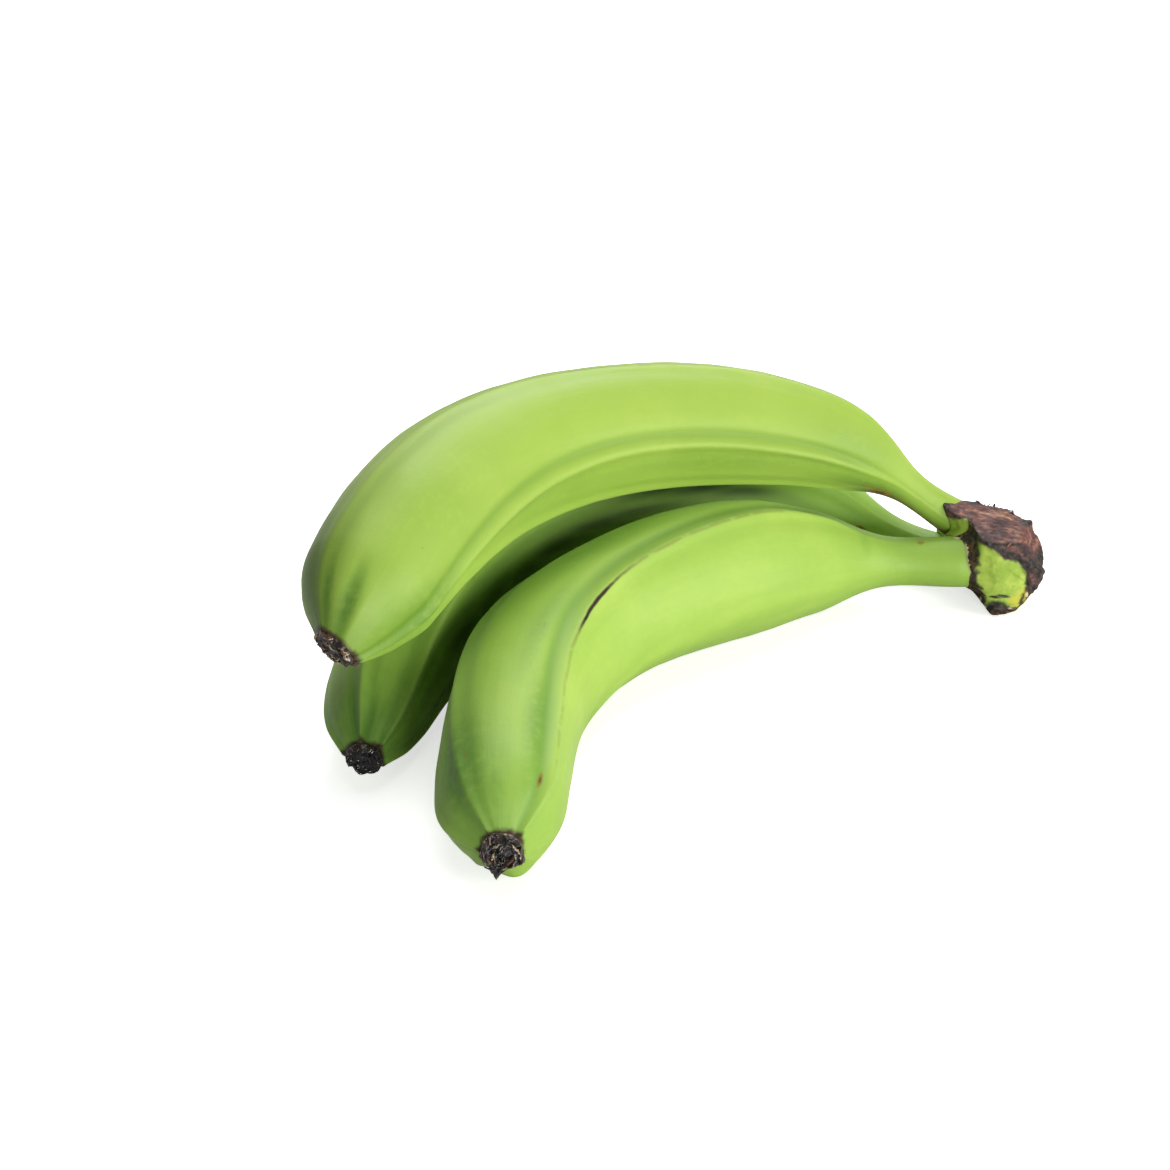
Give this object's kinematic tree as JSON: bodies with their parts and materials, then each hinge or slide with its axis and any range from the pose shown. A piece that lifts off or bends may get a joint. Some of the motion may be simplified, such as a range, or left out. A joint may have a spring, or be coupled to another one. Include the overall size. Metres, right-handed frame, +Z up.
{
  "type": "bunch of bananas",
  "caption": "Small bunch of unripe green bananas with ridged skins, still joined at the cut crown and lying on its side.",
  "frame": {"origin": "under the middle of the bunch's box, on the surface that it lies on", "axes": "+Z up; +X towards the crown, which is at the right; -Y towards the blossom ends and the hollow side of the bend"},
  "size_m": [0.186, 0.1742, 0.0734],
  "materials": {
    "banana_skin": "smooth waxy green peel, satin sheen",
    "crown_flesh": "dried purple-brown cut with a yellow-green fresher cut, matt and rough",
    "blossom_end": "dried black-brown flower remains, rough"
  },
  "bodies": {
    "root": {"banana_top": "banana_skin", "banana_middle": "banana_skin", "banana_front": "banana_skin", "crown": "crown_flesh", "blossom_tip_top": "blossom_end", "blossom_tip_middle": "blossom_end", "blossom_tip_front": "blossom_end"}
  },
  "joints": []
}
